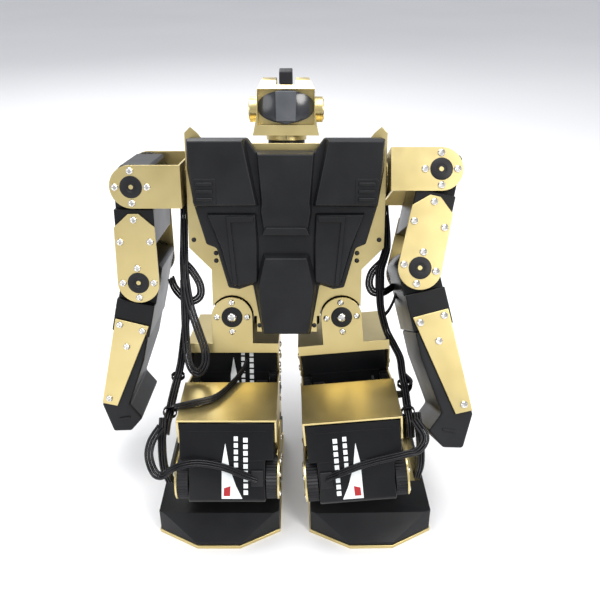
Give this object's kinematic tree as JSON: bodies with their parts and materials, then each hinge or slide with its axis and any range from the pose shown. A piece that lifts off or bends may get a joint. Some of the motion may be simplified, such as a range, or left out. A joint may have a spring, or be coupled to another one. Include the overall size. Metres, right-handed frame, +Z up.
{
  "type": "humanoid robot kit",
  "caption": "Small walking robot of gold sheet-metal brackets, black servos and plastic covers, squatting with its torso leaned back.",
  "frame": {"origin": "middle of the bounding box, on the floor under the soles", "axes": "+X towards the robot's own left hand, +Y towards its back, +Z up; it faces -Y"},
  "size_m": [0.1946, 0.1508, 0.2259],
  "materials": {
    "gold_metal": "satin champagne-gold anodised sheet",
    "black_plastic": "fine moulded texture",
    "servo_case": "satin",
    "visor": "smoked gloss",
    "board": "solder mask",
    "battery": "shrink wrap",
    "wire": "satin PVC"
  },
  "bodies": {
    "torso": {"chest_cover": "black_plastic", "front_frame_plate": "gold_metal", "back_frame_plate": "gold_metal", "top_plate": "gold_metal", "back_cover": "black_plastic", "controller_board": "board", "battery_pack": "battery", "neck_post": "black_plastic", "shoulder_servo_left": "servo_case", "shoulder_servo_right": "servo_case", "hip_roll_servo_left": "servo_case", "hip_roll_servo_right": "servo_case", "torso_cable_left": "wire", "torso_cable_right": "wire"},
    "head": {"head_shell": "gold_metal", "visor": "visor", "crest": "black_plastic"},
    "shoulder_left": {"shoulder_bracket_left": "gold_metal"},
    "upper_arm_left": {"shoulder_roll_servo_left": "servo_case", "upper_arm_front_plate_left": "gold_metal", "upper_arm_back_plate_left": "gold_metal"},
    "forearm_left": {"elbow_servo_left": "servo_case", "forearm_front_plate_left": "gold_metal", "forearm_back_plate_left": "gold_metal", "hand_left": "black_plastic"},
    "hip_left": {"hip_bracket_left": "gold_metal", "hip_pitch_servo_left": "servo_case"},
    "thigh_left": {"thigh_bracket_left": "gold_metal", "knee_servo_left": "servo_case", "leg_cable_left": "wire"},
    "shin_left": {"shin_outer_plate_left": "gold_metal", "shin_inner_plate_left": "gold_metal", "ankle_pitch_servo_left": "servo_case"},
    "ankle_left": {"ankle_bracket_left": "gold_metal"},
    "foot_left": {"ankle_roll_servo_left": "servo_case", "foot_plate_left": "gold_metal", "foot_shell_left": "black_plastic"},
    "shoulder_right": {"shoulder_bracket_right": "gold_metal"},
    "upper_arm_right": {"shoulder_roll_servo_right": "servo_case", "upper_arm_front_plate_right": "gold_metal", "upper_arm_back_plate_right": "gold_metal"},
    "forearm_right": {"elbow_servo_right": "servo_case", "forearm_front_plate_right": "gold_metal", "forearm_back_plate_right": "gold_metal", "hand_right": "black_plastic"},
    "hip_right": {"hip_bracket_right": "gold_metal", "hip_pitch_servo_right": "servo_case"},
    "thigh_right": {"thigh_bracket_right": "gold_metal", "knee_servo_right": "servo_case", "leg_cable_right": "wire"},
    "shin_right": {"shin_outer_plate_right": "gold_metal", "shin_inner_plate_right": "gold_metal", "ankle_pitch_servo_right": "servo_case"},
    "ankle_right": {"ankle_bracket_right": "gold_metal"},
    "foot_right": {"ankle_roll_servo_right": "servo_case", "foot_plate_right": "gold_metal", "foot_shell_right": "black_plastic"}
  },
  "joints": [
    {"name": "head_pan", "type": "hinge", "parent": "torso", "child": "head", "pos_m": [0.00531, 0.02697, 0.19018], "axis": [0, 0.2079, 0.9781], "range_deg": [-90, 90]},
    {"name": "shoulder_pitch_left", "type": "hinge", "parent": "torso", "child": "shoulder_left", "pos_m": [-0.04659, 0.02242, 0.1707], "axis": [-1, 0, 0], "range_deg": [-25, 150]},
    {"name": "shoulder_roll_left", "type": "hinge", "parent": "shoulder_left", "child": "upper_arm_left", "pos_m": [-0.07139, 0.02242, 0.1707], "axis": [0, -0.9903, 0.1392], "range_deg": [-110, 12]},
    {"name": "elbow_left", "type": "hinge", "parent": "upper_arm_left", "child": "forearm_left", "pos_m": [-0.07139, 0.01546, 0.12119], "axis": [0, 0.9903, -0.1392], "range_deg": [-18, 110]},
    {"name": "hip_roll_left", "type": "hinge", "parent": "torso", "child": "hip_left", "pos_m": [-0.02369, -0.0076, 0.1045], "axis": [0, 0.9781, -0.2079], "range_deg": [-8, 18]},
    {"name": "hip_pitch_left", "type": "hinge", "parent": "hip_left", "child": "thigh_left", "pos_m": [-0.02369, -0.00152, 0.05618], "axis": [1, 0, 0], "range_deg": [-12, 75]},
    {"name": "knee_left", "type": "hinge", "parent": "thigh_left", "child": "shin_left", "pos_m": [-0.02369, -0.06262, 0.04198], "axis": [-1, 0, 0], "range_deg": [0, 150]},
    {"name": "ankle_pitch_left", "type": "hinge", "parent": "shin_left", "child": "ankle_left", "pos_m": [-0.02369, -0.00874, 0.0352], "axis": [1, 0, 0], "range_deg": [-2, 13]},
    {"name": "ankle_roll_left", "type": "hinge", "parent": "ankle_left", "child": "foot_left", "pos_m": [-0.02369, -0.00874, 0.0132], "axis": [0, 1, 0], "range_deg": [-11, 2]},
    {"name": "shoulder_pitch_right", "type": "hinge", "parent": "torso", "child": "shoulder_right", "pos_m": [0.05721, 0.02242, 0.1707], "axis": [-1, 0, 0], "range_deg": [-25, 150]},
    {"name": "shoulder_roll_right", "type": "hinge", "parent": "shoulder_right", "child": "upper_arm_right", "pos_m": [0.08201, 0.02242, 0.1707], "axis": [0, 0.8746, -0.4848], "range_deg": [-110, 1]},
    {"name": "elbow_right", "type": "hinge", "parent": "upper_arm_right", "child": "forearm_right", "pos_m": [0.07127, -0.00126, 0.12799], "axis": [0, -0.8746, 0.4848], "range_deg": [-3, 95]},
    {"name": "hip_roll_right", "type": "hinge", "parent": "torso", "child": "hip_right", "pos_m": [0.03431, -0.0076, 0.1045], "axis": [0, 0.9781, -0.2079], "range_deg": [-5, 8]},
    {"name": "hip_pitch_right", "type": "hinge", "parent": "hip_right", "child": "thigh_right", "pos_m": [0.03832, -0.00148, 0.05635], "axis": [0.9962, 0.0181, 0.0853], "range_deg": [-12, 75]},
    {"name": "knee_right", "type": "hinge", "parent": "thigh_right", "child": "shin_right", "pos_m": [0.04063, -0.06256, 0.04225], "axis": [-0.9962, -0.0181, -0.0853], "range_deg": [0, 150]},
    {"name": "ankle_pitch_right", "type": "hinge", "parent": "shin_right", "child": "ankle_right", "pos_m": [0.04026, -0.00873, 0.03512], "axis": [0.9962, 0.0181, 0.0853], "range_deg": [-2, 13]},
    {"name": "ankle_roll_right", "type": "hinge", "parent": "ankle_right", "child": "foot_right", "pos_m": [0.04214, -0.0087, 0.0132], "axis": [-0.0182, 0.9998, 0], "range_deg": [-9, 5]}
  ]
}
